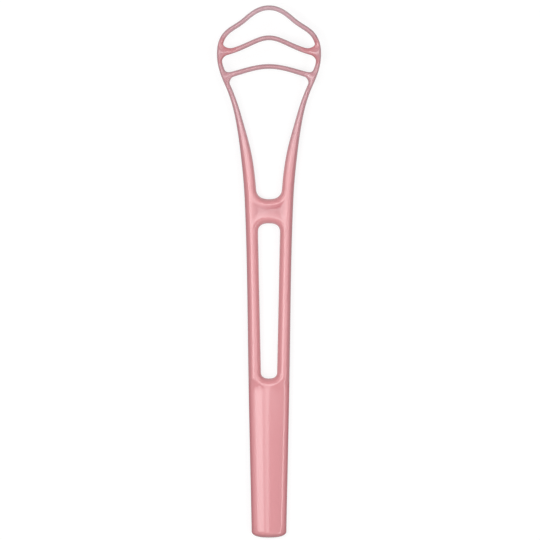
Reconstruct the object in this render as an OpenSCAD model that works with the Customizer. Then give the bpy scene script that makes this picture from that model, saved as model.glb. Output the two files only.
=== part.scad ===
// A tongue scraper in one piece of moulded plastic, seen here as its eleven regions:
// a crowned grip, two rails beside a long slot, a bridge, two arms that flare round a
// vee-shaped opening, the two sides of the head, and three scraping bars.
// It lies face up on the flat back of the grip: +Y runs to the head, +Z is the face.

/* [Overall] */
// Greatest width of the head
head_w = 34.3; // [32:0.1:38]
// How far the tip of the head rises above the flat back
head_lift = 5.5; // [0:0.5:10]

/* [Grip] */
// Length of the solid grip, up to the slot
grip_l = 52.4; // [44:0.1:58]
// Width of the grip at its rounded end
end_w = 11.45; // [10.5:0.05:13]
// Width of the grip at the lower end of the slot
grip_top_w = 13.55; // [13:0.05:15]
// Depth of the rounded end
end_depth = 2.3; // [1.8:0.1:4]
// Thickness of the grip
grip_t = 4.2; // [3.4:0.1:5.5]
// Radius over the edge of the rounded end
end_edge_r = 1.9; // [1:0.1:2.2]

/* [Rails and bridge] */
// Length of the slot between the rails
slot_l = 51; // [40:0.5:62]
// Width of the slot at its lower end
slot_low_w = 5.2; // [4.6:0.1:5.6]
// Width of the slot at its upper end
slot_top_w = 7.3; // [6.4:0.1:7.6]
// Radius over the edge of the slot
slot_edge_r = 2.1; // [1:0.1:2.2]
// Radius over the outer edges of the rails and the bridge
rail_edge_r = 2.1; // [1.6:0.1:2.8]
// Length of the bridge, from the slot to the vee-shaped opening
bridge_l = 8; // [7:0.1:12]
// Width over the arms where they leave the bridge
waist_w = 16.1; // [15.4:0.1:17.5]
// Thickness of the bridge
bridge_t = 4; // [3.2:0.1:5]
// Depth of the shallow bowl in the face of the bridge
bowl_depth = 0.2; // [0.1:0.05:0.6]
// Width of the rim round the bowl, along the bridge's edges
bowl_rim = 1.6; // [1:0.1:2]
// Width of the bowl's slope beside the vee-shaped opening
bowl_drop = 2; // [1.4:0.1:2.4]

/* [Arms] */
// Length of the arms, from the bridge to the widest place of the head
arm_l = 47.5; // [42:0.5:56]
// Width of an arm where it leaves the bridge
arm_w = 4; // [3.7:0.05:4.6]
// Depth of the rounded lower end of the vee-shaped opening
vee_depth = 3.1; // [2.2:0.1:3.8]
// Radius over the edge of the vee-shaped opening, at its lower end
vee_edge_r = 1.8; // [1:0.1:1.9]

/* [Head] */
// Thickness of the head
head_t = 2.5; // [2:0.1:3.2]
// Distance from the front bar back to the widest place of the head
widest_back = 16.1; // [15.4:0.1:17.5]
// Width of the sides of the head
side_w = 1.6; // [1.5:0.01:2]
// Width of the loop where it turns into the front bar
shoulder_w = 1.66; // [1.6:0.01:2.1]
// Radius over the outer edge of the head
head_edge_r = 0.8; // [0.5:0.05:0.85]

/* [Scraping bars] */
// Width of a bar at its middle
bar_w = 1.6; // [1.5:0.05:2]
// Width of an inner bar where it nears the sides
bar_root_w = 1.85; // [1.6:0.05:2.3]
// Distance from the front bar to the middle bar
front_pitch = 9.83; // [9.4:0.01:10.3]
// Distance from the middle bar to the rear bar
rear_pitch = 9.4; // [9:0.05:10]
// How far the middle bar falls away from its peak, at most
middle_drop = 7.8; // [6.8:0.1:8]
// How far out the middle bar has fallen by half of that
middle_spread = 11; // [10:0.5:13]
// How far the rear bar falls away from its peak, at most
rear_drop = 8.3; // [7:0.1:9]
// How far out the rear bar has fallen by half of that
rear_spread = 18; // [17:0.5:21]
// Length of the root below a bar's centre line, along the side
root_low = 2.75; // [2.5:0.05:3]
// Length of the root above a bar's centre line, along the side
root_high = 4; // [3.6:0.05:4.1]
// Reach of the fillet under the root of the rear bar
rear_low_reach = 2.6; // [2:0.1:3.2]
// Reach of the fillet over the root of the rear bar
rear_high_reach = 2.4; // [2:0.1:3.2]
// Reach of the fillet under the root of the middle bar
middle_low_reach = 1.9; // [1.6:0.1:2.6]
// Reach of the fillet over the root of the middle bar
middle_high_reach = 3.8; // [2.8:0.1:4.2]
// Radius over the edges of the bars, on the face
bar_edge_r = 0.8; // [0.4:0.05:0.8]
// Radius over the scraping edges, under the bars
scrape_edge_r = 0.4; // [0.25:0.05:0.7]

/* [Back] */
// Radius over the edges of the back
back_edge_r = 1; // [0.6:0.1:1.4]
// How much is cut off the back to leave it flat
back_trim = 0.02; // [0.01:0.01:0.05]

/* [Hidden] */
pink = [0.89, 0.62, 0.65];

// Share of the thickness that lies below the parting line
back_share = 0.45;
// Power of the superellipses that round the grip's end and the openings
corner_power = 2.5;
// Depth of the slot's rounded ends, as a share of its half width
slot_end_share = 0.82;
// Share of the grip over which its full crown runs before it narrows to the rails
crown_share = 0.75;
// Slope of the outer edge at the top of the grip, as a share of the grip's own
grip_slope_share = 0.85;

// Steps across a rail, an arm or a side, across the slot's half width and across a bar
across = 10;
slot_across = 5;
bar_across = 8;
// Steps along each region
rim_steps = 5;
grip_steps = 8;
rail_steps = 12;
bridge_steps = 4;
arm_steps = 24;
gap_steps = 3;
fillet_steps = 7;
bar_steps = 11;
front_steps = 18;

slot_top_y = grip_l + slot_l;
vee_y = slot_top_y + bridge_l;
widest_y = vee_y + arm_l;
total_l = widest_y + widest_back;
arm_flare = (head_w - waist_w) / 2;
grip_flare = (grip_top_w - end_w) / 2 / (grip_l - end_depth);
low_y = grip_l + slot_end_share * slot_low_w / 2;
high_y = slot_top_y - slot_end_share * slot_top_w / 2;

// Outer edge of the arms between the bridge and the widest place of the head:
// shares of the run, of the flare and of their mean slope, and the share of the
// way that the arm's width has still to go from the side's width to the arm's own
arm_shares = [
    [0, 0, 0.24, 1],
    [0.286, 0.127, 0.6, 0.86],
    [0.56, 0.337, 1.02, 0.25],
    [0.798, 0.729, 2.41, 0],
    [1, 1, 0, 0]
];
// Outer edge of the head from its widest place to the tip: shares of the half width
// and of the rise, and the heading of the edge in degrees
arch_shares = [
    [1, 0, 90],
    [0.936, 0.342, 116],
    [0.701, 0.592, 148],
    [0.475, 0.763, 138.5],
    [0, 1, 180]
];
// Length of the handles of that edge's curves, as a share of the chord
handle_share = 0.36;
// Width left over the bar's own past the shoulder, as a share of what the shoulder adds
shoulder_share = 0.36;
// Where the sides of the head end and the front bar begins, along that edge
mitre_share = 0.3;
// How far the fillets below and above each bar's root fill their corners
rear_full_shares = [0.42, 0.78];
middle_full_shares = [0.5, 0.36];
// Hollows in the face beside the inner bars' roots, below and above each root: how far
// each reaches from the fillet, and its depth as a share of the height
rear_hollows = [2.2, 2.2];
rear_hollow_shares = [0.3, 0.3];
middle_hollows = [1.8, 2.8];
middle_hollow_shares = [0.25, 0.5];

function lerp(a, b, t) = a + (b - a) * t;
function clamped(t) = min(1, max(0, t));
function ramp(y, a, b) = let (t = clamped((y - a) / (b - a))) t * t * (3 - 2 * t);
function compass(a) = [cos(a), sin(a)];
function product(v, i = 0) = i == len(v) ? 1 : v[i] * product(v, i + 1);
// Shares from 0 to 1 that crowd together at both ends
function eased(n) = [for (i = [0:n]) (1 - cos(180 * i / n)) / 2];
function bezier(a, b, c, d, t) =
    let (s = 1 - t) s * s * s * a + 3 * s * s * t * b + 3 * s * t * t * c + t * t * t * d;
function bezier_run(a, b, c, d, t) =
    let (s = 1 - t) s * s * (b - a) + 2 * s * t * (c - b) + t * t * (d - c);

// The outer edge from the grip's end to the widest place, as a width over y:
// each knot gives a place along y, the half width there and its slope
side_knots = concat(
    [[end_depth, end_w / 2, grip_flare],
     [grip_l, grip_top_w / 2, grip_flare * grip_slope_share]],
    [for (s = arm_shares)
        [vee_y + s[0] * arm_l, waist_w / 2 + s[1] * arm_flare, s[2] * arm_flare / arm_l]]
);
function knot_below(knots, y, k = 0) =
    k >= len(knots) - 2 || y < knots[k + 1][0] ? k : knot_below(knots, y, k + 1);
function over_knots(knots, y) =
    let (k = knot_below(knots, y), a = knots[k], b = knots[k + 1], run = b[0] - a[0],
         t = clamped((y - a[0]) / run), s = 1 - t)
    (1 + 2 * t) * s * s * a[1] + t * s * s * run * a[2]
    + t * t * (3 - 2 * t) * b[1] - t * t * s * run * b[2];
function slope_over_knots(knots, y) =
    let (k = knot_below(knots, y), a = knots[k], b = knots[k + 1], run = b[0] - a[0],
         t = clamped((y - a[0]) / run), s = 1 - t)
    6 * t * s * (b[1] - a[1]) / run + s * (1 - 3 * t) * a[2] + t * (3 * t - 2) * b[2];
function edge_x(y) = over_knots(side_knots, y);

// The outer edge of the head, from its widest place over the shoulder to the tip.
// Places on the whole loop are lengths: y up to the widest place, then chords of the arch
arch_knots = [for (s = arch_shares) [s[0] * head_w / 2, widest_y + s[1] * widest_back]];
arch_at = [for (k = 0, s = widest_y; k < len(arch_knots);
    s = s + (k + 1 < len(arch_knots) ? norm(arch_knots[k + 1] - arch_knots[k]) : 0),
    k = k + 1) s];
tip_s = arch_at[len(arch_at) - 1];
function arch_below(s, k = 0) =
    k >= len(arch_at) - 2 || s < arch_at[k + 1] ? k : arch_below(s, k + 1);
function arch_handles(k) =
    let (a = arch_knots[k], b = arch_knots[k + 1], reach = handle_share * norm(b - a))
    [a, a + reach * compass(arch_shares[k][2]), b - reach * compass(arch_shares[k + 1][2]), b];
function edge_point(s) =
    s <= widest_y ? [edge_x(s), s]
    : let (k = arch_below(s), h = arch_handles(k), t = (s - arch_at[k]) / (arch_at[k + 1] - arch_at[k]))
      bezier(h[0], h[1], h[2], h[3], t);
function edge_heading(s) =
    s <= widest_y ? atan2(1, slope_over_knots(side_knots, s))
    : let (k = arch_below(s), h = arch_handles(k), t = (s - arch_at[k]) / (arch_at[k + 1] - arch_at[k]),
           d = bezier_run(h[0], h[1], h[2], h[3], t))
      atan2(d.y, d.x);

// The width of the loop inside that edge, from the arms round to the front bar
wall_places = concat(
    [for (s = arm_shares) [vee_y + s[0] * arm_l, lerp(side_w, arm_w, s[3])]],
    [[arch_at[1], shoulder_w], [arch_at[2], lerp(bar_w, shoulder_w, shoulder_share)],
     [arch_at[3], bar_w], [tip_s, bar_w]]
);
wall_knots = [for (i = [0:len(wall_places) - 1])
    let (a = wall_places[max(0, i - 1)], b = wall_places[min(len(wall_places) - 1, i + 1)])
    [wall_places[i][0], wall_places[i][1],
     i == 0 || i == len(wall_places) - 1 ? 0 : (b[1] - a[1]) / (b[0] - a[0])]];
function inner_point(s) =
    edge_point(s) + over_knots(wall_knots, s) * compass(edge_heading(s) + 90);

// An inner bar: its peak, its drop and spread, and the reach and fullness of its fillets
middle = [total_l - bar_w / 2 - front_pitch, middle_drop, middle_spread,
    [middle_low_reach, middle_high_reach], middle_full_shares];
rear = [middle[0] - rear_pitch, rear_drop, rear_spread,
    [rear_low_reach, rear_high_reach], rear_full_shares];
function bar_y(bar, x) = bar[0] - bar[1] * x * x / (x * x + bar[2] * bar[2]);
function bar_slope(bar, x) =
    -2 * bar[1] * x * bar[2] * bar[2] / pow(x * x + bar[2] * bar[2], 2);
// The place on the loop where a bar's centre line meets the inner edge, by halving
function meeting(bar, low, high, n = 24) =
    n == 0 ? (low + high) / 2
    : let (s = (low + high) / 2, p = inner_point(s))
      p.y < bar_y(bar, p.x) ? meeting(bar, s, high, n - 1) : meeting(bar, low, s, n - 1);
rear_s = meeting(rear, vee_y + vee_depth, tip_s);
middle_s = meeting(middle, vee_y + vee_depth, tip_s);
mitre_s = lerp(widest_y, tip_s, mitre_share);
function root_places(s) = [for (t = eased(bar_across)) lerp(s - root_low, s + root_high, t)];
rear_root = root_places(rear_s);
middle_root = root_places(middle_s);

// One edge of an inner bar's right half, side -1 below and 1 above: the fillet from the
// head's side, then along the bar to its peak
function bar_edge_point(bar, root_x, side, x) =
    [x, bar_y(bar, x) + side / 2 * lerp(bar_w, bar_root_w, pow(x / root_x, 2))
        * sqrt(1 + pow(bar_slope(bar, x), 2))];
function crossing(p, a, q, b) = p + compass(a) * cross(q - p, compass(b)) / cross(compass(a), compass(b));
function bar_edge(bar, places, side) =
    let (k = side < 0 ? 0 : 1,
         root = places[side < 0 ? 0 : len(places) - 1],
         root_x = inner_point((places[0] + places[len(places) - 1]) / 2).x,
         p = inner_point(root),
         q = bar_edge_point(bar, root_x, side, root_x - bar[3][k]),
         c = crossing(p, edge_heading(root), q, atan(bar_slope(bar, q.x))),
         full = bar[4][k])
    concat([for (i = [0:fillet_steps])
                bezier(p, lerp(p, c, full), lerp(q, c, full), q, i / fillet_steps)],
           [for (i = [1:bar_steps])
                bar_edge_point(bar, root_x, side, q.x * (1 - i / bar_steps))]);
rear_low = bar_edge(rear, rear_root, -1);
rear_high = bar_edge(rear, rear_root, 1);
middle_low = bar_edge(middle, middle_root, -1);
middle_high = bar_edge(middle, middle_root, 1);

// The slot and the lower end of the vee-shaped opening, right halves
function slot_x(y) = lerp(slot_low_w, slot_top_w, (y - grip_l) / slot_l) / 2;
arm_s = vee_y + vee_depth;
vee_foot = inner_point(arm_s);
vee_slope = (inner_point(arm_s + side_w) - vee_foot).x / (inner_point(arm_s + side_w) - vee_foot).y;
function vee_x(y) = vee_foot.x - vee_slope * (vee_foot.y - y);
// Depth and half width of a superellipse's end at a turn from 0 in its middle to 90 degrees
function end_y(turn) = 1 - pow(cos(turn), 2 / corner_power);
function end_x(turn) = pow(sin(turn), 2 / corner_power);
turns = [for (i = [0:slot_across]) 90 * i / slot_across];
slot_low_end = [for (a = turns) let (y = lerp(grip_l, low_y, end_y(a))) [slot_x(y) * end_x(a), y]];
slot_high_end = [for (a = turns) let (y = lerp(slot_top_y, high_y, end_y(a))) [slot_x(y) * end_x(a), y]];
vee_end = [for (a = turns) let (y = lerp(vee_y, vee_foot.y, end_y(a))) [vee_x(y) * end_x(a), y]];
function grip_end_y(share) = end_depth * (1 - pow(1 - pow(share, corner_power), 1 / corner_power));

// Rows of the loop, from the inner to the outer edge, and of the rails
function strip(p, q) = [for (t = eased(across)) lerp(p, q, t)];
function loop_row(s) = strip(inner_point(s), edge_point(s));
function rail_row(y) = strip([slot_x(y), y], [edge_x(y), y]);
function joined(inner, outer) = concat(inner, [for (i = [1:len(outer) - 1]) outer[i]]);

// The edges that round the face and the back, each with its two radii near y
end_line = [for (i = [0:across]) let (s = sin(90 * i / across)) [s * end_w / 2, grip_end_y(s)]];
outer_places = concat([for (i = [0:rail_steps]) lerp(end_depth, vee_y, i / rail_steps)],
    [for (i = [1:arm_steps]) lerp(vee_y, mitre_s, i / arm_steps)],
    [for (i = [1:front_steps]) lerp(mitre_s, tip_s, i / front_steps)]);
outer_line = [for (s = outer_places) edge_point(s)];
slot_line = concat(slot_low_end, [for (i = [slot_across:-1:0]) slot_high_end[i]]);
vee_line = concat(vee_end,
    [for (i = [1:arm_steps]) inner_point(lerp(arm_s, rear_root[0], i / arm_steps))], rear_low);
rear_gap_line = concat([for (i = [len(rear_high) - 1:-1:0]) rear_high[i]],
    [for (i = [1:gap_steps]) inner_point(lerp(rear_root[bar_across], middle_root[0], i / gap_steps))],
    middle_low);
front_gap_line = concat([for (i = [len(middle_high) - 1:-1:0]) middle_high[i]],
    [for (i = [1:gap_steps]) inner_point(lerp(middle_root[bar_across], mitre_s, i / gap_steps))],
    [for (i = [1:front_steps]) inner_point(lerp(mitre_s, tip_s, i / front_steps))]);

head_from_y = rear[0] - rear[1];
bowl_short = bowl_rim + bowl_drop;
bowl_long = bridge_l - bowl_short;
function outer_r(y) =
    lerp(lerp(edge_x(y), rail_edge_r, ramp(y, crown_share * grip_l, grip_l)),
         head_edge_r, ramp(y, vee_y, head_from_y));
function back_r(y, last) = lerp(back_edge_r, last, ramp(y, vee_y, head_from_y));
function edges_near(y) = [
    [outer_line, outer_r(y), back_r(y, head_edge_r), bowl_long],
    if (y < end_depth + end_edge_r) [end_line, end_edge_r, back_edge_r, bowl_long],
    if (y > grip_l - slot_edge_r && y < slot_top_y + bowl_long)
        [slot_line, slot_edge_r, min(slot_edge_r, back_edge_r), bowl_long],
    if (y > vee_y - bowl_short)
        [vee_line, lerp(vee_edge_r, bar_edge_r, ramp(y, vee_y, head_from_y)), back_r(y, scrape_edge_r),
            bowl_short],
    if (y > head_from_y) [rear_gap_line, bar_edge_r, scrape_edge_r, bowl_long],
    if (y > head_from_y) [front_gap_line, bar_edge_r, scrape_edge_r, bowl_long]
];
// The fillets beside the bars' roots, each with its hollow's reach and share
function fillet(line) = [for (i = [0:fillet_steps]) line[i]];
root_hollows = [
    [fillet(rear_low), rear_hollows[0], rear_hollow_shares[0]],
    [fillet(rear_high), rear_hollows[1], rear_hollow_shares[1]],
    [fillet(middle_low), middle_hollows[0], middle_hollow_shares[0]],
    [fillet(middle_high), middle_hollows[1], middle_hollow_shares[1]]
];
function from_segment(p, a, b) =
    let (d = b - a, t = clamped((p - a) * d / (d * d))) norm(p - a - t * d);
function from_line(p, line) = min([for (i = [1:len(line) - 1]) from_segment(p, line[i - 1], line[i])]);
// Height over an edge, as a share of the full height: a quarter ellipse of that radius
function rim(d, r) = d >= r ? 1 : sqrt(d / r * (2 - d / r));

function thickness(y) = grip_t + (bridge_t - grip_t) * ramp(y, grip_l, slot_top_y)
    + (head_t - bridge_t) * ramp(y, vee_y, head_from_y);
function lift(y) = head_lift * pow(max(0, y - slot_top_y) / (total_l - slot_top_y), 2);
// The bowl's depth, less by the edges' rims, and what the hollows leave of the height
function bowl(y, edges, gaps) = bowl_depth * ramp(y, low_y, high_y)
    * product([for (i = [0:len(edges) - 1]) ramp(gaps[i], bowl_rim, edges[i][3])]);
function unhollowed(p) = p.y < head_from_y ? 1
    : product([for (h = root_hollows) 1 - h[2] * (1 - ramp(from_line(p, h[0]), 0, h[1]))]);

// A place on the face and on the back under it: x, y, both heights and whether they meet
function place(p, meets, trimmed = true) =
    let (t = thickness(p.y), floor_z = lift(p.y), parting_z = floor_z + back_share * t)
    meets ? [p.x, p.y, parting_z, parting_z, true]
    : let (edges = edges_near(p.y), gaps = [for (e = edges) from_line(p, e[0])],
           face = unhollowed(p) * product([for (i = [0:len(edges) - 1]) rim(gaps[i], edges[i][1])]),
           back = product([for (i = [0:len(edges) - 1]) rim(gaps[i], edges[i][2])]),
           back_z = parting_z - (back_share * t + back_trim) * back)
      [p.x, p.y, parting_z + ((1 - back_share) * t - bowl(p.y, edges, gaps)) * face,
       trimmed ? max(floor_z, back_z) : back_z, false];

// Rows of places for each region, on the right half where the region has two
function spread(run, near_r, far_r, n) = concat(
    [for (i = [0:rim_steps]) near_r / run * (1 - cos(90 * i / rim_steps))],
    [for (i = [1:n - 1]) lerp(near_r / run, 1 - far_r / run, i / n)],
    [for (i = [rim_steps:-1:0]) 1 - far_r / run * (1 - cos(90 * i / rim_steps))]);
function between(low, high, shares, trimmed = true) =
    let (n = len(shares) - 1, m = len(low) - 1)
    [for (i = [0:n]) [for (j = [0:m])
        let (y = lerp(low[j].y, high[j].y, shares[i]),
             x = i == 0 ? low[j].x : i == n ? high[j].x
                 : edge_x(y) * lerp(low[j].x / edge_x(low[j].y), high[j].x / edge_x(high[j].y), shares[i]))
        place([x, y], j == m || (i == 0 && (j <= slot_across || low[j].y < low_y))
            || (i == n && j <= slot_across), trimmed)]];
grip_high = joined(slot_low_end, rail_row(low_y));
function grip_half() =
    between([for (p = grip_high) let (s = p.x / edge_x(p.y)) [s * end_w / 2, grip_end_y(s)]], grip_high,
        spread(low_y, end_edge_r + end_depth, slot_edge_r + low_y - grip_l, grip_steps), false);
function bridge_half() =
    between(joined(slot_high_end, rail_row(high_y)), joined(vee_end, loop_row(arm_s)),
        spread(arm_s - high_y, slot_edge_r + slot_top_y - high_y, vee_edge_r + vee_depth, bridge_steps));
function strip_places(rows) = [for (r = rows) [for (j = [0:across])
    place(r[j], j == 0 || j == across)]];
function rail_right() =
    strip_places([for (i = [0:rail_steps]) rail_row(lerp(low_y, high_y, i / rail_steps))]);
function arm_right() =
    strip_places([for (i = [0:arm_steps]) loop_row(lerp(arm_s, rear_root[0], i / arm_steps))]);
// The side's places along the loop, each with whether a bar grows from it there
function rooted(places) = [for (i = [0:bar_across]) [places[i], i > 0 && i < bar_across]];
function plain(from, to, first) = [for (i = [1:gap_steps - first]) [lerp(from, to, i / gap_steps), false]];
side_places = concat(rooted(rear_root), plain(rear_root[bar_across], middle_root[0], 1),
    rooted(middle_root), plain(middle_root[bar_across], mitre_s, 0));
function side_right() = [for (s = side_places) let (r = loop_row(s[0]))
    [for (j = [0:across]) place(r[j], j == across || (j == 0 && !s[1]))]];
function front_right() =
    strip_places([for (i = [0:front_steps]) loop_row(lerp(mitre_s, tip_s, i / front_steps))]);
function bar_right(places, low, high) = [for (i = [0:len(low) - 1]) [for (j = [0:bar_across])
    place(i == 0 ? inner_point(places[j]) : lerp(low[i], high[i], eased(bar_across)[j]),
        j == 0 || j == bar_across)]];

// The same places on the left half, and both halves side by side or end to end
function turned(v) = [-v[0], v[1], v[2], v[3], v[4]];
function leftward(rows) = [for (r = rows) [for (j = [len(r) - 1:-1:0]) turned(r[j])]];
function both_sides(rows) = [for (r = rows)
    concat([for (j = [len(r) - 1:-1:1]) turned(r[j])], r)];
function both_ends(rows) = concat(rows, [for (i = [len(rows) - 2:-1:0]) [for (v = rows[i]) turned(v)]]);

// The solid between the face and the back, with walls where rows of places end unjoined
module slab(rows) {
    n = len(rows);
    m = len(rows[0]);
    function face(i, j) = i * m + j;
    function back(i, j) = rows[i][j][4] ? face(i, j) : (n + i) * m + j;
    // A quad's corners, turned where its diagonal would join two places that meet
    function split(i, j, q) = rows[i][j][4] && rows[i + 1][j + 1][4] ? [q[1], q[2], q[3], q[0]] : q;
    quads = concat(
        [for (i = [0:n - 2]) for (j = [0:m - 2])
            split(i, j, [face(i, j), face(i + 1, j), face(i + 1, j + 1), face(i, j + 1)])],
        [for (i = [0:n - 2]) for (j = [0:m - 2])
            split(i, j, [back(i, j), back(i, j + 1), back(i + 1, j + 1), back(i + 1, j)])],
        [for (j = [0:m - 2]) [back(0, j), face(0, j), face(0, j + 1), back(0, j + 1)]],
        [for (j = [0:m - 2])
            [back(n - 1, j + 1), face(n - 1, j + 1), face(n - 1, j), back(n - 1, j)]],
        [for (i = [0:n - 2]) [back(i, m - 1), face(i, m - 1), face(i + 1, m - 1), back(i + 1, m - 1)]],
        [for (i = [0:n - 2]) [back(i + 1, 0), face(i + 1, 0), face(i, 0), back(i, 0)]]);
    corners = [for (q = quads) each [[q[0], q[1], q[2]], [q[0], q[2], q[3]]]];
    polyhedron(
        points = concat(
            [for (r = rows) for (v = r) [v[0], v[1] - total_l / 2, v[2]]],
            [for (r = rows) for (v = r) [v[0], v[1] - total_l / 2, v[3]]]),
        faces = [for (c = corners) if (c[0] != c[1] && c[1] != c[2] && c[2] != c[0]) c]);
}

module grip() {
    color(pink) difference() {
        slab(both_sides(grip_half()));
        translate([-grip_top_w, -total_l, -grip_t]) cube([2 * grip_top_w, 2 * total_l, grip_t]);
    }
}

module left_rail() {
    color(pink) slab(leftward(rail_right()));
}

module right_rail() {
    color(pink) slab(rail_right());
}

module bridge() {
    color(pink) slab(both_sides(bridge_half()));
}

module left_arm() {
    color(pink) slab(leftward(arm_right()));
}

module right_arm() {
    color(pink) slab(arm_right());
}

module left_side() {
    color(pink) slab(leftward(side_right()));
}

module right_side() {
    color(pink) slab(side_right());
}

module rear_bar() {
    color(pink) slab(both_ends(bar_right(rear_root, rear_low, rear_high)));
}

module middle_bar() {
    color(pink) slab(both_ends(bar_right(middle_root, middle_low, middle_high)));
}

module front_bar() {
    color(pink) slab(both_ends(front_right()));
}

grip();
left_rail();
right_rail();
bridge();
left_arm();
right_arm();
left_side();
right_side();
rear_bar();
middle_bar();
front_bar();
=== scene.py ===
# A moulded tongue scraper in pink gloss plastic, lying face up and seen from straight above
import math
import bpy
import numpy as np
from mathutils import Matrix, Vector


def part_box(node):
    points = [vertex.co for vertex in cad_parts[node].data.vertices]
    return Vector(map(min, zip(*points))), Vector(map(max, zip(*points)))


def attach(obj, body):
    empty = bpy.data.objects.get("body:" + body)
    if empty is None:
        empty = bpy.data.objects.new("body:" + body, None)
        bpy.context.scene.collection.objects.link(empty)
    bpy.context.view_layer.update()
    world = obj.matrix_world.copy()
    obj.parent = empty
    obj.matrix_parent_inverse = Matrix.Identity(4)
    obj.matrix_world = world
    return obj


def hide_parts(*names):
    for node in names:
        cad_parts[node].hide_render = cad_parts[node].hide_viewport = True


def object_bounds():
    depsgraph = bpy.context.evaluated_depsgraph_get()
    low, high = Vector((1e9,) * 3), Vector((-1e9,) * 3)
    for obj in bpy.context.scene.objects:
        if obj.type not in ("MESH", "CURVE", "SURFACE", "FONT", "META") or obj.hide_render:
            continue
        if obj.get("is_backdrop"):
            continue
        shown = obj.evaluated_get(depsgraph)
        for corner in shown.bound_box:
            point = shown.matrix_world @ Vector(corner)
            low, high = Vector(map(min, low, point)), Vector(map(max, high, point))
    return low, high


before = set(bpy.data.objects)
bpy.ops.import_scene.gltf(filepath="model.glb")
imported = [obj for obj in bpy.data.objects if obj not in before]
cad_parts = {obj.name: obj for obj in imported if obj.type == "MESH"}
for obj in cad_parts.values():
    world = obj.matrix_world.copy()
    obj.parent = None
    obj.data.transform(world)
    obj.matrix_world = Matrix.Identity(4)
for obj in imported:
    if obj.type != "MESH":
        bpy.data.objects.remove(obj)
cadLow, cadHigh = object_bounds()
cadBoxes = {node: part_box(node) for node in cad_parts}
print("frame loaded,", len(cadBoxes), "nodes")

mm = 0.001  # shapes are worked out in millimetres along the tool, y from the grip's end


# Small sums on whole arrays

def lerp(a, b, t):  # a at 0 and b at 1, evenly between them
    return a + (b - a) * t


def ramp(y, start, end):
    # 0 before start, 1 after end, and three squares of the share less two cubes between them
    t = np.clip((y - start) / (end - start), 0, 1)
    return t * t * (3 - 2 * t)


def compass(degrees):  # a step of length one in each direction
    turn = np.radians(degrees)
    return np.stack([np.cos(turn), np.sin(turn)], -1)


def eased(steps):  # shares from 0 to 1 that crowd together at both ends: half of one less a cosine
    return (1 - np.cos(np.pi * np.arange(steps + 1) / steps)) / 2


def evenly(start, end, steps):  # from start to end in steps of one size
    return np.linspace(start, end, steps + 1)


def bezier(a, b, c, d, t):  # a cubic from a to d that leaves towards b and comes in from c
    s = 1 - t
    return s * s * s * a + 3 * s * s * t * b + 3 * s * t * t * c + t * t * t * d


def bezierRun(a, b, c, d, t):  # a third of the same curve's speed
    s = 1 - t
    return s * s * (b - a) + 2 * s * t * (c - b) + t * t * (d - c)


def overKnots(knots, y):
    # a cubic between each two knots, which give a place, a value and a slope there;
    # what comes back is its value and its slope at y
    k = np.clip(np.searchsorted(knots[:, 0], y, "right") - 1, 0, len(knots) - 2)
    (y0, v0, m0), (y1, v1, m1) = np.moveaxis(knots[k], -1, 0), np.moveaxis(knots[k + 1], -1, 0)
    t = np.clip((y - y0) / (y1 - y0), 0, 1)
    s = 1 - t
    value = (1 + 2 * t) * s * s * v0 + t * s * s * (y1 - y0) * m0
    value = value + t * t * (3 - 2 * t) * v1 - t * t * s * (y1 - y0) * m1
    return value, 6 * t * s * (v1 - v0) / (y1 - y0) + s * (1 - 3 * t) * m0 + t * (3 * t - 2) * m1


# Outlines of the right half; lengths are in mm, and a share is of the size that it belongs to

# the outline's slope at the top is a share of its mean slope; the crown spans the whole width up to a
# share of the length; the power is that of the superellipses at the grip's end and the openings' ends
gripShape = {
    "length": 52.4, "endWidth": 11.45, "topWidth": 13.55, "endDepth": 2.3, "thickness": 4.2,
    "endRadius": 1.9, "slopeShare": 0.85, "crownShare": 0.93, "cornerPower": 2.5,
}
# a slot's end is as deep as a share of half its width there
railShape = {
    "slotLength": 51, "slotLowWidth": 5.2, "slotTopWidth": 7.3, "slotEndShare": 0.82,
    "slotRadius": 2.1, "outerRadius": 2.1,
}
bridgeShape = {
    "length": 8, "waistWidth": 16.1, "thickness": 4, "dishDepth": 0.12, "dishRim": 1.6, "dishDrop": 2,
}
armShape = {
    "length": 47.5, "width": 4, "veeDepth": 3.1, "veeRadius": 1.8,
    # shares of the run, of the flare and of their mean slope, and of the width still to lose
    "shares": [(0, 0, 0.24, 1), (0.286, 0.127, 0.6, 0.86), (0.56, 0.337, 1.02, 0.25),
               (0.798, 0.729, 2.41, 0), (1, 1, 0, 0)],
}
# the handles are shares of each stretch of the arch; the front bar starts at the mitre, a share of the
# way from the widest place to the tip
headShape = {
    "thickness": 2.5, "lift": 5.5, "reach": 16.1, "sideWidth": 1.6, "shoulderWidth": 1.66,
    "outerRadius": 0.8, "handleShare": 0.36, "shoulderShare": 0.36, "mitreShare": 0.3,
    # shares of the half width and of the reach, and the edge's heading in degrees
    "shares": [(1, 0, 90), (0.936, 0.342, 116), (0.701, 0.592, 148), (0.475, 0.763, 138.5),
               (0, 1, 180)],
}
# a root runs this far along the loop under and over the bar's middle; the pitches are from peak to peak
barShape = {
    "width": 1.6, "rootWidth": 1.85, "rootLow": 2.75, "rootHigh": 4,
    "faceRadius": 0.8, "scrapeRadius": 0.4, "frontPitch": 9.83, "rearPitch": 9.4,
}
# each pair is for the lower and the upper edge: its fillet's reach along the bar, how full the fillet
# is, and the hollow beside it, which takes a share of the height and has a reach of its own
middleShape = {
    "drop": 7.8, "spread": 11, "reach": (1.9, 3.8), "fullShares": (0.5, 0.36),
    "hollows": ((0.25, 1.8), (0.5, 2.8)),
}
rearShape = {
    "drop": 8.3, "spread": 18, "reach": (2.6, 2.4), "fullShares": (0.42, 0.78),
    "hollows": ((0.3, 2.2), (0.3, 2.2)),
}
# the share of the thickness under the parting line; the trim keeps the middle of the back flat
backShape = {"share": 0.45, "radius": 1, "trim": 0.02}
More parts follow.
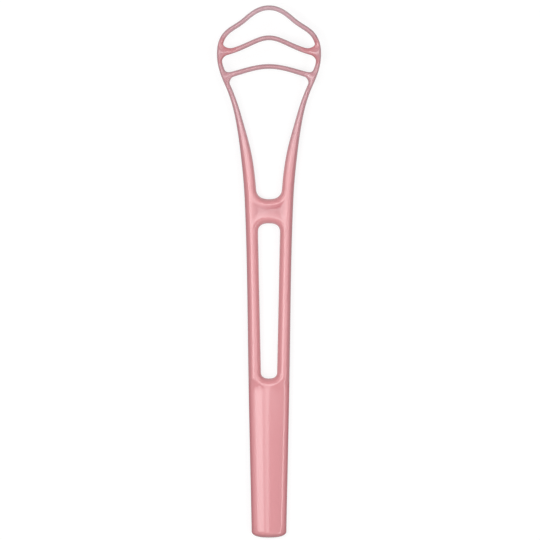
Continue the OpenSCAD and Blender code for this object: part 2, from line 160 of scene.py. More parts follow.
# steps across and along the regions and their edges
detail = {
    "across": 28, "slotAcross": 20, "barAcross": 18, "rim": 14, "grip": 44, "rail": 64, "bridge": 18,
    "arm": 100, "gap": 16, "fillet": 24, "bar": 44, "front": 72,
    "edgeSteps": 3,  # the rounded edges are followed this many times as finely as the regions
    "halvings": 24,  # of the stretch in which a bar's middle meets the loop
    "pairsAtOnce": 1500000,  # distances that are worked out together
}

toolLength = (cadHigh.y - cadLow.y) / mm
headWidth = (cadHigh.x - cadLow.x) / mm
gripTop = gripShape["length"]
slotTop = gripTop + railShape["slotLength"]
veeY = slotTop + bridgeShape["length"]
widestY = veeY + armShape["length"]
lowY = gripTop + railShape["slotEndShare"] * railShape["slotLowWidth"] / 2
highY = slotTop - railShape["slotEndShare"] * railShape["slotTopWidth"] / 2

gripFlare = (gripShape["topWidth"] - gripShape["endWidth"]) / 2 / (gripTop - gripShape["endDepth"])
armFlare = (headWidth - bridgeShape["waistWidth"]) / 2
armShares = np.array(armShape["shares"])
sideKnots = np.array(
    [(gripShape["endDepth"], gripShape["endWidth"] / 2, gripFlare),
     (gripTop, gripShape["topWidth"] / 2, gripFlare * gripShape["slopeShare"])]
    + [(veeY + run * armShape["length"], bridgeShape["waistWidth"] / 2 + out * armFlare,
        slope * armFlare / armShape["length"]) for run, out, slope, width in armShares])

archShares = np.array(headShape["shares"])
archKnots = archShares[:, :2] * (headWidth / 2, headShape["reach"]) + (0, widestY)
archAt = widestY + np.append(0, np.cumsum(np.linalg.norm(np.diff(archKnots, axis=0), axis=1)))
tipS = archAt[-1]
mitreS = lerp(widestY, tipS, headShape["mitreShare"])


def edgeX(y):  # half the tool's width, up to the widest place
    return overKnots(sideKnots, y)[0]


def outerEdge(s):
    # place and heading of the outer edge: cubics over y up to the widest place, then Bezier curves
    halfWidth, slope = overKnots(sideKnots, s)
    k = np.clip(np.searchsorted(archAt, s, "right") - 1, 0, len(archAt) - 2)
    start, end = archKnots[k], archKnots[k + 1]
    reach = headShape["handleShare"] * np.linalg.norm(end - start, axis=-1, keepdims=True)
    leaving, arriving = reach * compass(archShares[k, 2]), reach * compass(archShares[k + 1, 2])
    curve = (start, start + leaving, end - arriving, end)
    t = ((s - archAt[k]) / (archAt[k + 1] - archAt[k]))[..., None]
    run = bezierRun(*curve, t)
    arch = np.degrees(np.arctan2(run[..., 1], run[..., 0]))
    straight = s <= widestY
    place = np.where(straight[..., None], np.stack([halfWidth, s], -1), bezier(*curve, t))
    return place, np.where(straight, 90 - np.degrees(np.arctan(slope)), arch)


# the loop's width at places along its outer edge
wallPlaces = np.array(
    [(veeY + run * armShape["length"], lerp(headShape["sideWidth"], armShape["width"], width))
     for run, out, slope, width in armShares]
    + [(archAt[1], headShape["shoulderWidth"]),
       (archAt[2], lerp(barShape["width"], headShape["shoulderWidth"], headShape["shoulderShare"])),
       (archAt[3], barShape["width"]), (tipS, barShape["width"])])
wallSlopes = np.zeros(len(wallPlaces))
wallSlopes[1:-1] = (wallPlaces[2:, 1] - wallPlaces[:-2, 1]) / (wallPlaces[2:, 0] - wallPlaces[:-2, 0])
wallKnots = np.column_stack([wallPlaces, wallSlopes])


def innerEdge(s):  # the outer edge moved in, square to itself, by the loop's width there
    s = np.asarray(s, float)
    place, heading = outerEdge(s)
    return place + overKnots(wallKnots, s)[0][..., None] * compass(heading + 90)


def barY(bar, x):
    # a bell curve: the peak, less the drop times x squared over the sum of x squared and spread squared
    return bar["peak"] - bar["drop"] * x * x / (x * x + bar["spread"] ** 2)


def barSlope(bar, x):  # the bell curve's slope
    return -2 * bar["drop"] * x * bar["spread"] ** 2 / (x * x + bar["spread"] ** 2) ** 2


def meeting(bar):  # where the bar's centre line meets the loop's inner edge, by halving
    low, high = veeY + armShape["veeDepth"], tipS
    for halving in range(detail["halvings"]):
        s = (low + high) / 2
        x, y = innerEdge(s)
        low, high = (s, high) if y < barY(bar, x) else (low, s)
    return (low + high) / 2


def cross(a, b):  # what two flat vectors span
    return a[..., 0] * b[..., 1] - a[..., 1] * b[..., 0]


def barSide(bar, side):
    # one edge of a bar's right half, from its root on the loop to its peak: a Bezier fillet that leaves
    # the loop's edge along it, then the bell curve moved half the bar's width up or down
    k = 0 if side < 0 else 1
    rootX = innerEdge((bar["root"][0] + bar["root"][-1]) / 2)[0]

    def along(x):
        width = lerp(barShape["width"], barShape["rootWidth"], (x / rootX) ** 2)
        return np.stack([x, barY(bar, x) + side / 2 * width * np.sqrt(1 + barSlope(bar, x) ** 2)], -1)

    rootS = bar["root"][-k]
    start, heading = innerEdge(rootS), compass(outerEdge(np.asarray(rootS))[1])
    end = along(np.asarray(rootX - bar["reach"][k]))
    inward = compass(np.degrees(np.arctan(barSlope(bar, end[0]))))
    corner = start + heading * cross(end - start, inward) / cross(heading, inward)
    full = bar["fullShares"][k]
    t = evenly(0, 1, detail["fillet"])[:, None]
    fillet = bezier(start, lerp(start, corner, full), lerp(end, corner, full), end, t)
    return np.concatenate([fillet, along(end[0] * (1 - evenly(0, 1, detail["bar"])[1:]))])


def finishBar(shape, peak):  # a bar's values with its peak, the places of its root and both its edges
    bar = dict(shape, peak=peak)
    middle = meeting(bar)
    low, high = middle - barShape["rootLow"], middle + barShape["rootHigh"]
    bar["root"] = lerp(low, high, eased(detail["barAcross"]))
    bar["low"], bar["high"] = barSide(bar, -1), barSide(bar, 1)
    return bar


middleBar = finishBar(middleShape, toolLength - barShape["width"] / 2 - barShape["frontPitch"])
rearBar = finishBar(rearShape, middleBar["peak"] - barShape["rearPitch"])
headFrom = rearBar["peak"] - rearBar["drop"]

armS = veeY + armShape["veeDepth"]
veeFoot = innerEdge(armS)
veeStep = innerEdge(armS + headShape["sideWidth"]) - veeFoot


def slotX(y):  # half the slot's width, which grows evenly towards the bridge
    share = (y - gripTop) / railShape["slotLength"]
    return lerp(railShape["slotLowWidth"], railShape["slotTopWidth"], share) / 2


def veeX(y):  # half the vee's width below its foot, along the line on which its side starts
    return veeFoot[0] - veeStep[0] / veeStep[1] * (veeFoot[1] - y)


def roundEnd(low, high, halfWidth):
    # a superellipse's quarter, from the middle of an opening's end to its side
    turn = np.radians(evenly(0, 90, detail["slotAcross"]))
    power = 2 / gripShape["cornerPower"]
    y = lerp(low, high, 1 - np.clip(np.cos(turn), 0, 1) ** power)
    return np.stack([halfWidth(y) * np.sin(turn) ** power, y], -1)


def gripEndY(share):  # the grip's end, a superellipse over shares of its half width
    power = gripShape["cornerPower"]
    return gripShape["endDepth"] * (1 - np.clip(1 - share ** power, 0, 1) ** (1 / power))


slotLowEnd, slotHighEnd = roundEnd(gripTop, lowY, slotX), roundEnd(slotTop, highY, slotX)
veeEnd = roundEnd(veeY, veeFoot[1], veeX)
print("outlines drawn, tip at", round(tipS, 2), "mm along the edge")


# Heights over the outlines

def thickness(y):  # from the grip's to the bridge's beside the slot, and on to the head's over the arms
    rail = lerp(gripShape["thickness"], bridgeShape["thickness"], ramp(y, gripTop, slotTop))
    return rail + (headShape["thickness"] - bridgeShape["thickness"]) * ramp(y, veeY, headFrom)


def lift(y):  # how far the underside sweeps up past the slot, by the square of the way to the tip
    return headShape["lift"] * (np.maximum(0, y - slotTop) / (toolLength - slotTop)) ** 2


def outerRadius(y):  # all the half width on the grip, then the rails' rounding, then the head's
    crownTop = gripShape["crownShare"] * gripTop
    handle = lerp(edgeX(y), railShape["outerRadius"], ramp(y, crownTop, gripTop))
    return lerp(handle, headShape["outerRadius"], ramp(y, veeY, headFrom))


def veeRadius(y):  # from the arms' rounding at the vee's foot to the bars' at the head
    return lerp(armShape["veeRadius"], barShape["faceRadius"], ramp(y, veeY, headFrom))


def backRadius(y, last):  # the back's rounding, which becomes the last one at the head
    return lerp(backShape["radius"], last, ramp(y, veeY, headFrom))


def constant(value):  # one radius all along
    return lambda y: np.full_like(y, value)


fine = detail["edgeSteps"]
armSide = innerEdge(evenly(armS, rearBar["root"][0], fine * detail["arm"]))
rearSide = innerEdge(evenly(rearBar["root"][-1], middleBar["root"][0], fine * detail["gap"]))
frontSide = innerEdge(evenly(middleBar["root"][-1], tipS, fine * detail["front"]))
endShare = np.sin(np.radians(evenly(0, 90, fine * detail["across"])))
outerPlaces = np.concatenate([evenly(gripShape["endDepth"], veeY, fine * detail["rail"]),
                              evenly(veeY, widestY, fine * detail["arm"])[1:],
                              evenly(widestY, tipS, 2 * fine * detail["front"])[1:]])
# the bowl's slope ends this far in from the vee, and the longer way in from every other edge
bowlShort = bridgeShape["dishRim"] + bridgeShape["dishDrop"]
bowlLong = bridgeShape["length"] - bowlShort
# each rounded edge: its line, its radius over y on the face and on the back, and where the bowl's slope
# ends; the first two go round the tool, the others round its openings
outlineEdges = 2
roundedEdges = [
    (outerEdge(outerPlaces)[0],
     outerRadius, lambda y: backRadius(y, headShape["outerRadius"]), bowlLong),
    (np.stack([endShare * gripShape["endWidth"] / 2, gripEndY(endShare)], -1),
     constant(gripShape["endRadius"]), constant(backShape["radius"]), bowlLong),
    (np.concatenate([slotLowEnd, slotHighEnd[::-1]]),
     constant(railShape["slotRadius"]),
     constant(min(railShape["slotRadius"], backShape["radius"])), bowlLong),
    (np.concatenate([veeEnd, armSide[1:], rearBar["low"][1:]]),
     veeRadius, lambda y: backRadius(y, barShape["scrapeRadius"]), bowlShort),
    (np.concatenate([rearBar["high"][::-1], rearSide[1:], middleBar["low"][1:]]),
     constant(barShape["faceRadius"]), constant(barShape["scrapeRadius"]), bowlLong),
    (np.concatenate([middleBar["high"][::-1], frontSide[1:]]),
     constant(barShape["faceRadius"]), constant(barShape["scrapeRadius"]), bowlLong),
]
# each hollow: its bar, the fillet that it lies along, and how deep and how wide it is
rootHollows = [(bar, bar[side][:detail["fillet"] + 1], bar["hollows"][k])
               for bar in (middleBar, rearBar) for k, side in enumerate(("low", "high"))]

# how far the painted shade reaches in from the outer edge, in mm, and its share in the bowl and at the
# roots; from where to where along the tool the pink turns greyer with painted shade over the head, in
# mm from its middle, and the share of the edge's painted shade that this takes away; and from where to
# where it turns paler with a painted highlight at the tip
toneShape = {
    "edgeShadeReach": 1.2, "bowl": 0.8, "root": 0.5,
    "headShadeFrom": 28, "headShadeTo": 58, "headShadeEdge": 0.6, "tipHighlightFrom": 74, "tipHighlightTo": 87,
}


def distanceTo(points, line):  # from each point to the nearest of the line's straight stretches
    start, run = line[:-1], np.diff(line, axis=0)
    nearest = []
    for some in np.array_split(points, len(points) * len(start) // detail["pairsAtOnce"] + 1):
        away = some[:, None] - start
        t = np.clip((away * run).sum(-1) / (run * run).sum(-1), 0, 1)
        nearest.append(np.linalg.norm(away - t[..., None] * run, axis=-1).min(1))
    return np.concatenate(nearest)


def rim(gap, radius):  # a quarter ellipse: nothing at the edge, whole from one radius in
    q = np.clip(gap / radius, 0, 1)
    return np.sqrt(q * (2 - q))


def heights(spots, meets):
    # face and back: the parting line, plus or minus a share of the thickness times the rims of all
    # edges nearby; the face has a bowl in the bridge, inside a rim along every edge, and hollows beside
    # the bars' roots; then three tones of painted light in the colour: painted shade, most of all at
    # the tool's outer edge, and also in the bowl and at the middle bar's roots; painted shade that
    # greys the head, which the middle bar's roots don't get; and a painted highlight that makes the tip
    # paler
    x, y = spots.reshape(-1, 2).T
    inmost = gripShape["topWidth"] / 2  # no place is further from an edge of its own
    face, back, bowl = np.ones(len(y)), np.ones(len(y)), ramp(y, lowY, highY)
    root, outerGap = np.zeros(len(y)), np.full(len(y), inmost)

    def gaps(line, span):
        near = (y > line[:, 1].min() - span) & (y < line[:, 1].max() + span)
        return near, distanceTo(np.stack([x[near], y[near]], -1), line)

    for k, (line, faceRadius, backLineRadius, bowlReach) in enumerate(roundedEdges):
        near, gap = gaps(line, inmost)
        if k < outlineEdges:
            outerGap[near] = np.minimum(outerGap[near], gap)
        face[near] *= rim(gap, faceRadius(y[near]))
        back[near] *= rim(gap, backLineRadius(y[near]))
        bowl[near] *= ramp(gap, bridgeShape["dishRim"], bowlReach)
    for bar, line, (depth, span) in rootHollows:
        near, gap = gaps(line, span)
        face[near] *= 1 - depth * (1 - ramp(gap, 0, span))
        if bar is middleBar:
            root[near] = np.maximum(root[near], 1 - ramp(gap, 0, span))
    thick, share = thickness(y), backShape["share"]
    parting = lift(y) + share * thick
    top = parting + ((1 - share) * thick - bridgeShape["dishDepth"] * bowl) * face
    bottom = np.maximum(lift(y), parting - (share * thick + backShape["trim"]) * back)
    along = y - toolLength / 2
    # painted shade greys the head, except at the middle bar's roots
    paintedHeadShade = ramp(along, toneShape["headShadeFrom"], toneShape["headShadeTo"]) * (1 - root)
    # a painted highlight pales the tip
    paintedTipHighlight = ramp(along, toneShape["tipHighlightFrom"], toneShape["tipHighlightTo"])
    edge = (1 - ramp(outerGap, 0, toneShape["edgeShadeReach"])) * (1 - toneShape["headShadeEdge"] * paintedHeadShade)
    # painted shade: deepest at the outer edge, less over the head, and also in the bowl and at the
    # middle bar's roots
    paintedShade = np.maximum(edge, np.maximum(toneShape["root"] * root, toneShape["bowl"] * bowl))
    flat = meets.ravel()
    parts = np.where(flat, parting, top), np.where(flat, parting, bottom), paintedShade, paintedHeadShade, paintedTipHighlight
    return [part.reshape(meets.shape) for part in parts]


# Grids of places: rows run along the tool or the bar, columns across it, and a grid also says where
# the face and the back meet in one place

def strip(inner, outer):  # rows from the inner edge to the outer one, close together at both
    t = eased(detail["across"])[:, None]
    return lerp(inner[:, None], outer[:, None], t)


def loopStrip(s):  # across the arms and the head's loop
    return strip(innerEdge(s), outerEdge(s)[0])


def railStrip(y):  # from the slot to the outer edge
    return strip(np.stack([slotX(y), y], -1), np.stack([edgeX(y), y], -1))


def bothSidesMeet(spots):  # in the first and the last column
    meets = np.zeros(spots.shape[:2], bool)
    meets[:, [0, -1]] = True
    return meets


def spread(run, nearReach, farReach, steps):  # shares along a run, close together inside both reaches
    rims = 1 - np.cos(np.radians(evenly(0, 90, detail["rim"])))
    near, far = nearReach / run, farReach / run
    middle = lerp(near, 1 - far, np.arange(1, steps) / steps)
    return np.concatenate([near * rims, middle, 1 - far * rims[::-1]])


def between(low, high, shares):
    # rows from one curve across the tool to another, by even shares of the way and of the tool's width
    t = shares[:, None]
    y = lerp(low[:, 1], high[:, 1], t)
    x = edgeX(y) * lerp(low[:, 0] / edgeX(low[:, 1]), high[:, 0] / edgeX(high[:, 1]), t)
    meets = np.zeros(y.shape, bool)
    meets[:, -1] = True
    meets[-1, :detail["slotAcross"] + 1] = True
    return np.stack([x, y], -1), meets


def gripGrid():  # from the grip's end to the slot's lower end
    high = np.concatenate([slotLowEnd, railStrip(np.array([lowY]))[0][1:]])
    share = high[:, 0] / edgeX(high[:, 1])
    low = np.stack([share * gripShape["endWidth"] / 2, gripEndY(share)], -1)
    endReach = gripShape["endRadius"] + gripShape["endDepth"]
    slotReach = railShape["slotRadius"] + lowY - gripTop
    spots, meets = between(low, high, spread(lowY, endReach, slotReach, detail["grip"]))
    meets[0] = True
    return spots, meets


def bridgeGrid():  # from the slot's upper end to the vee
    low = np.concatenate([slotHighEnd, railStrip(np.array([highY]))[0][1:]])
    high = np.concatenate([veeEnd, loopStrip(np.array([armS]))[0][1:]])
    slotReach = railShape["slotRadius"] + slotTop - highY
    veeReach = armShape["veeRadius"] + armShape["veeDepth"]
    spots, meets = between(low, high, spread(armS - highY, slotReach, veeReach, detail["bridge"]))
    meets[0, :detail["slotAcross"] + 1] = True
    return spots, meets


def railGrid():  # along the slot's straight sides
    spots = railStrip(evenly(lowY, highY, detail["rail"]))
    return spots, bothSidesMeet(spots)


def armGrid():  # from the vee to the rear bar's root
    spots = loopStrip(evenly(armS, rearBar["root"][0], detail["arm"]))
    return spots, bothSidesMeet(spots)


def sideGrid():  # from the rear bar's root to the mitre past the shoulder
    lower = evenly(rearBar["root"][-1], middleBar["root"][0], detail["gap"])
    upper = evenly(middleBar["root"][-1], mitreS, detail["gap"])
    s = np.concatenate([rearBar["root"], lower[1:-1], middleBar["root"], upper[1:]])
    spots = loopStrip(s)
    meets = bothSidesMeet(spots)
    for bar in (rearBar, middleBar):  # a bar grows out of the loop between the ends of its root
        meets[(s > bar["root"][0]) & (s < bar["root"][-1]), 0] = False
    return spots, meets


def frontGrid():  # from the mitre to the tip
    spots = loopStrip(evenly(mitreS, tipS, detail["front"]))
    return spots, bothSidesMeet(spots)


def barGrid(bar):  # between the bar's two edges, from the loop's inner edge to the peak
    spots = lerp(bar["low"][:, None], bar["high"][:, None], eased(detail["barAcross"])[:, None])
    spots[0] = innerEdge(bar["root"])
    return spots, bothSidesMeet(spots)


# what each place of a grid carries: x, y, the face's and the back's height, the tones, and whether the
# face and the back meet there
faceColumns, backColumns = [0, 1, 2], [0, 1, 3]
# tone attributes: painted shade, painted shade over the head, and a painted highlight at the tip
toneNames = ("paintedShade", "paintedHeadShade", "paintedTipHighlight")
toneColumns = slice(4, 4 + len(toneNames))
meetsColumn = 4 + len(toneNames)


def solid(grid):  # all that its places carry
    spots, meets = grid
    return np.concatenate([spots, np.stack([*heights(spots, meets), meets], -1)], -1)


def mirrored(rows):  # the same places with x turned round
    turned = rows.copy()
    turned[..., 0] *= -1
    return turned


def leftward(rows):  # the left half, its columns still from left to right
    return mirrored(rows)[:, ::-1]


def bothSides(rows):  # the left half's columns, then the right half's, with the middle one once
    return np.concatenate([leftward(rows)[:, :-1], rows], 1)


def bothEnds(rows):  # rows from the right to the middle and on to the left
    return np.concatenate([rows, mirrored(rows)[-2::-1]])


def closedMesh(rows):
    # the face over the back, sharing the places where they meet, with a wall round the rest;
    # quads are split on the diagonal that doesn't join two such places
    count, meets = rows[..., 0].size, rows[..., meetsColumn] > 0.5
    face = np.arange(count).reshape(meets.shape)
    back = np.where(meets, face, face + count)

    def quads(a, b, c, d):
        return np.stack([a, b, c, d], -1).reshape(-1, 4)

    skin = np.concatenate([quads(face[:-1, :-1], face[1:, :-1], face[1:, 1:], face[:-1, 1:]),
                           quads(back[:-1, :-1], back[:-1, 1:], back[1:, 1:], back[1:, :-1])])
    turn = np.tile((meets[:-1, :-1] & meets[1:, 1:]).ravel(), 2)
    skin[turn] = np.roll(skin[turn], -1, 1)
    wall = np.concatenate([quads(back[0, :-1], face[0, :-1], face[0, 1:], back[0, 1:]),
                           quads(back[-1, 1:], face[-1, 1:], face[-1, :-1], back[-1, :-1]),
                           quads(back[:-1, -1], face[:-1, -1], face[1:, -1], back[1:, -1]),
                           quads(back[1:, 0], face[1:, 0], face[:-1, 0], back[:-1, 0])])

    def triangles(four):
        three = np.concatenate([four[:, [0, 1, 2]], four[:, [0, 2, 3]]])
        a, b, c = three.T
        return three[(a != b) & (b != c) & (c != a)]

    skin, wall = triangles(skin), triangles(wall)
    places = np.concatenate([rows[..., one].reshape(-1, 3) for one in (faceColumns, backColumns)])
    tones = np.tile(rows[..., toneColumns].reshape(-1, len(toneNames)), (2, 1))
    used, corner = np.unique(np.concatenate([skin, wall]), return_inverse=True)
    places = (places[used] - (0, toolLength / 2, 0)) * mm
    return places, corner.reshape(-1, 3), len(skin), tones[used]


gripRows, bridgeRows, railRows, armRows, sideRows = map(
    solid, (gripGrid(), bridgeGrid(), railGrid(), armGrid(), sideGrid()))
shapes = {
    "grip": bothSides(gripRows),
    "left_rail": leftward(railRows),
    "right_rail": railRows,
    "bridge": bothSides(bridgeRows),
    "left_arm": leftward(armRows),
    "right_arm": armRows,
    "left_side": leftward(sideRows),
    "right_side": sideRows,
    "rear_bar": bothEnds(solid(barGrid(rearBar))),
    "middle_bar": bothEnds(solid(barGrid(middleBar))),
    "front_bar": bothEnds(solid(frontGrid())),
}
meshes = {node: closedMesh(rows) for node, rows in shapes.items()}
print("surfaces worked out,", sum(len(mesh[1]) for mesh in meshes.values()), "triangles")


# Pieces, with one normal for each place on the skin, which the regions that meet there share, so that
# no seam shows

placeSteps = 10000  # places in the same ten-thousandth of a mm count as one
leastLength = 1e-20  # keeps a vector of no length from being divided by nothing


def facing(places, corner):  # square to each triangle, and twice as long as its area
    a, b, c = (places[corner[:, i]] for i in range(3))
    return np.cross(b - a, c - a)


def oneLong(vectors):  # each over its own length
    return vectors / np.maximum(np.linalg.norm(vectors, axis=1, keepdims=True), leastLength)


def skinNormals():  # the sum of the facings of the skin's triangles round each place, made one long
    places = np.concatenate([mesh[0] for mesh in meshes.values()])
    starts = np.cumsum([0] + [len(mesh[0]) for mesh in meshes.values()])
    skins = np.concatenate([corner[:skin] + start
                            for start, (_, corner, skin, _) in zip(starts, meshes.values())])
    rounded = np.round(places / mm * placeSteps).astype(np.int64)
    same = np.unique(rounded, axis=0, return_inverse=True)[1].ravel()
    sizes = facing(places, skins)
    total = np.zeros((same.max() + 1, 3))
    for i in range(3):
        np.add.at(total, same[skins[:, i]], sizes)
    total = oneLong(total)
    return {node: total[same[start:start + len(mesh[0])]]
            for node, start, mesh in zip(meshes, starts, meshes.values())}


def makePiece(node, normals):  # smooth over the skin, and square to each triangle on the walls
    places, corner, skin, tones = meshes[node]
    mesh = bpy.data.meshes.new(node + "_moulded")
    mesh.vertices.add(len(places))
    mesh.vertices.foreach_set("co", places.ravel())
    mesh.loops.add(corner.size)
    mesh.loops.foreach_set("vertex_index", corner.ravel())
    mesh.polygons.add(len(corner))
    mesh.polygons.foreach_set("loop_start", np.arange(0, corner.size, 3))
    mesh.update(calc_edges=True)
    onSkin = (np.arange(len(corner)) < skin)[:, None, None]
    loops = np.where(onSkin, normals[corner], oneLong(facing(places, corner))[:, None])
    mesh.polygons.foreach_set("use_smooth", np.ones(len(corner), bool))
    mesh.normals_split_custom_set(loops.reshape(-1, 3).tolist())
    for name, tone in zip(toneNames, tones.T):
        attribute = mesh.attributes.new(name, "FLOAT", "POINT")
        attribute.data.foreach_set("value", np.ascontiguousarray(tone))
    piece = bpy.data.objects.new(node + "_moulded", mesh)
    bpy.context.scene.collection.objects.link(piece)
    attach(piece, "root")
    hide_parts(node)
    return piece


normals = skinNormals()
pieces = {node: makePiece(node, normals[node]) for node in meshes}
for node, piece in pieces.items():
    low, high = meshes[node][0].min(0), meshes[node][0].max(0)
    off = max(np.abs(low - cadBoxes[node][0]).max(), np.abs(high - cadBoxes[node][1]).max()) / mm
    print(f"{node}: {len(meshes[node][1])} triangles, corners within {off:.3f} mm of its node")


# The plastic

class Socket:  # shader sums written as Python sums
    def __init__(self, tree, link):
        self.tree, self.link = tree, link

    def node(self, kind, settings=None, **inputs):
        # any other node: its type, its settings, and its sockets by name, or number after an underscore
        made = self.tree.nodes.new(kind)
        for name, value in (settings or {}).items():
            setattr(made, name, value)
        for name, value in inputs.items():
            socket = made.inputs[int(name[1:]) if name[0] == "_" else name.replace("_", " ")]
            if isinstance(value, Socket):
                self.tree.links.new(value.link, socket)
            else:
                socket.default_value = value
        return made

    def output(self, made, which=0):  # what a node gives, as a socket
        return Socket(self.tree, made.outputs[which])

    def maths(self, operation, a, b):
        return self.output(self.node("ShaderNodeMath", {"operation": operation}, _0=a, _1=b))

    def __add__(self, other):
        return self.maths("ADD", self, other)

    def __mul__(self, other):
        return self.maths("MULTIPLY", self, other)

    def __sub__(self, other):
        return self.maths("SUBTRACT", self, other)

    def __rsub__(self, other):
        return self.maths("SUBTRACT", other, self)

    __radd__, __rmul__ = __add__, __mul__


def emptyMaterial(name):  # with a socket that its nodes are made from
    material = bpy.data.materials.new(name)
    material.use_nodes = True
    material.node_tree.nodes.clear()
    return material, Socket(material.node_tree, None)


plasticLook = {
    "pink": (0.72, 0.312, 0.332), "cloud": (0.7, 0.298, 0.318),
    # the head's pink here is greyed by painted shade, and the tip's pink is paled by a painted
    # highlight
    "shadedHeadPink": (0.585, 0.31, 0.34), "tipHighlightPink": (0.63, 0.4, 0.44),
    # the painted shade leaves this share of the colour where it is deepest
    "paintedShadeShare": (0.72, 0.56, 0.59),  # what is left of the colour where it is deepest
    "ior": 1.5, "roughness": 0.13, "dull": 0.06,
    # each noise: how wide its patches are in mm, its octaves and its seed
    "clouds": (24, 2, 0.3), "patches": (5, 4, 0.9), "ripples": (2.2, 1, 1.7), "grain": (0.16, 2, 2.9),
    "rippleDepth": 0.0025, "grainDepth": 0.0006,  # in mm
}


def mouldedPlastic(look):
    # gloss pink with slow clouds, greyer with painted shade over the head, paler with a painted
    # highlight at the tip and deeper with painted shade where the tones say so; its skin is slightly
    # rippled, with a fine grain and duller patches
    material, start = emptyMaterial("plastic")
    place = start.output(start.node("ShaderNodeTexCoord"), "Object")

    def noise(size, octaves, seed):  # moved by its seed, so that no two line up
        moved = start.node("ShaderNodeVectorMath", {"operation": "ADD"},
                           _0=place, _1=(seed, seed * 2, seed * 3))
        return start.output(start.node("ShaderNodeTexNoise", Vector=start.output(moved),
                                       Scale=1 / (size * mm), Detail=octaves))

    def mixed(share, under, over, blend="MIX"):  # under and over are colours or sockets
        under, over = ((*one, 1) if isinstance(one, tuple) else one for one in (under, over))
        made = start.node("ShaderNodeMix", {"data_type": "RGBA", "blend_type": blend},
                          _0=share, _6=under, _7=over)
        return start.output(made, 2)

    def tone(name):
        return start.output(start.node("ShaderNodeAttribute", {"attribute_name": name}), "Fac")

    clouds, patches = noise(*look["clouds"]), noise(*look["patches"])
    ripples, grain = noise(*look["ripples"]), noise(*look["grain"])
    paintedShade, paintedHeadShade, paintedTipHighlight = map(tone, toneNames)
    colour = mixed(clouds, look["pink"], look["cloud"])
    # painted shade greys the head
    colour = mixed(paintedHeadShade, colour, look["shadedHeadPink"])
    # a painted highlight pales the tip
    colour = mixed(paintedTipHighlight, colour, look["tipHighlightPink"])
    # painted shade deepens the colour at the edges, in the bowl and at the roots
    colour = mixed(paintedShade, colour, look["paintedShadeShare"], "MULTIPLY")
    skin = ripples * (look["rippleDepth"] * mm) + grain * (look["grainDepth"] * mm)
    bump = start.node("ShaderNodeBump", Strength=1.0, Distance=1.0, Height=skin)
    shader = start.node("ShaderNodeBsdfPrincipled", Base_Color=colour, Normal=start.output(bump),
                        Roughness=look["roughness"] + (patches - 0.5) * look["dull"], IOR=look["ior"])
    start.node("ShaderNodeOutputMaterial", Surface=start.output(shader))
    return material


plastic = mouldedPlastic(plasticLook)
for piece in pieces.values():
    piece.data.materials.append(plastic)
print("plastic mixed")


# Floor, lamps and camera

studio = {
    "floor": 0.25, "floorReach": 3, "floorGap": 0.02,  # the gap under the tool is in mm
    "glow": 0.78, "world": 0.16,
    # flat lamps that face down: from where to where along x and along y in metres, and how bright as a
    # white; each hangs one step under the one before, which it covers where they overlap
    "lampHeight": 0.8, "lampStep": 0.001,
    "lamps": {
        "backLeft": (-1.8, -0.5, 0.06, 0.75, 2.7),
        "backRight": (0.4, 1.3, 0.06, 0.75, 1.6),
        "front": (-0.098, 0.828, -1.2, -0.28, 0.6),
        "key": (-0.625, -0.199, -0.28, 0.03, 3.2),
        "keyWide": (-0.888, -0.098, -0.12, -0.045, 1.9),
        "keyEdge": (-0.098, 0, -0.28, 0.14, 3.2),
        "streak": (-0.55, -0.12, -0.045, 0.16, 3.2),
        "middle": (-0.12, 0.4, -0.045, 0.16, 3.3),
        "side": (0.4, 1.505, -0.045, 0.03, 2.4),
        "strip": (0.7, 0.9, -1.2, -0.045, 5.2),
    },
}
# the camera looks straight down at aim, where its frame is frameHeight metres high
view = {
    "lens": 600, "sensor": 36, "frameHeight": 0.17766, "aim": (0.00033, 0.00056, 0.002),
    "clip": (0.01, 20),
}
white = (1, 1, 1, 1)


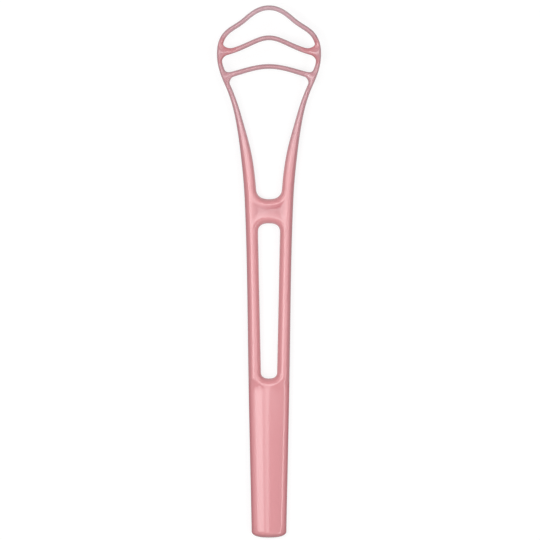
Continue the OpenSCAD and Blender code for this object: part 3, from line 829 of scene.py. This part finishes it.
def makeFloor():
    # matt, with a glow that only the camera and reflections see
    material, start = emptyMaterial("floorWhite")
    path = start.node("ShaderNodeLightPath")
    seen = (start.output(path, "Is Camera Ray") + start.output(path, "Is Glossy Ray")
            + start.output(path, "Is Transmission Ray"))
    matt = start.node("ShaderNodeBsdfDiffuse", Color=(studio["floor"],) * 3 + (1,))
    glow = start.node("ShaderNodeEmission", Color=white, Strength=seen * studio["glow"])
    both = start.node("ShaderNodeAddShader", _0=start.output(matt), _1=start.output(glow))
    start.node("ShaderNodeOutputMaterial", Surface=start.output(both))
    reach = studio["floorReach"]
    corners = [(-reach, -reach, 0), (reach, -reach, 0), (reach, reach, 0), (-reach, reach, 0)]
    mesh = bpy.data.meshes.new("floor")
    mesh.from_pydata(corners, [], [(0, 1, 2, 3)])
    mesh.materials.append(material)
    floor = bpy.data.objects.new("floor", mesh)
    floor.location.z = cadLow.z - studio["floorGap"] * mm
    bpy.context.scene.collection.objects.link(floor)
    floor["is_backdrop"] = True


def makeLamp(name, height, left, right, front, back, level):
    # a lamp whose watts are pi times its area and its level looks as bright as a white of that level
    lamp = bpy.data.lights.new(name, "AREA")
    lamp.shape, lamp.size, lamp.size_y = "RECTANGLE", right - left, back - front
    lamp.energy = level * math.pi * lamp.size * lamp.size_y
    made = bpy.data.objects.new(name, lamp)
    made.location = ((left + right) / 2, (front + back) / 2, height)
    bpy.context.scene.collection.objects.link(made)


def makeCamera():
    data = bpy.data.cameras.new("camera")
    data.lens, data.sensor_width = view["lens"], view["sensor"]
    camera = bpy.data.objects.new("camera", data)
    x, y, z = view["aim"]
    camera.location = (x, y, z + view["frameHeight"] * view["lens"] / view["sensor"])
    data.clip_start, data.clip_end = view["clip"]
    bpy.context.scene.collection.objects.link(camera)
    bpy.context.scene.camera = camera


def makeWorld():
    world = bpy.data.worlds.new("studio")
    world.use_nodes = True
    background = world.node_tree.nodes["Background"].inputs
    background["Color"].default_value, background["Strength"].default_value = white, studio["world"]
    bpy.context.scene.world = world


makeFloor()
for k, (name, lamp) in enumerate(studio["lamps"].items()):
    makeLamp(name, studio["lampHeight"] - k * studio["lampStep"], *lamp)
makeWorld()
makeCamera()
bpy.context.scene.view_settings.view_transform = "Standard"
print("floor, lamps and camera set")

low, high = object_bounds()
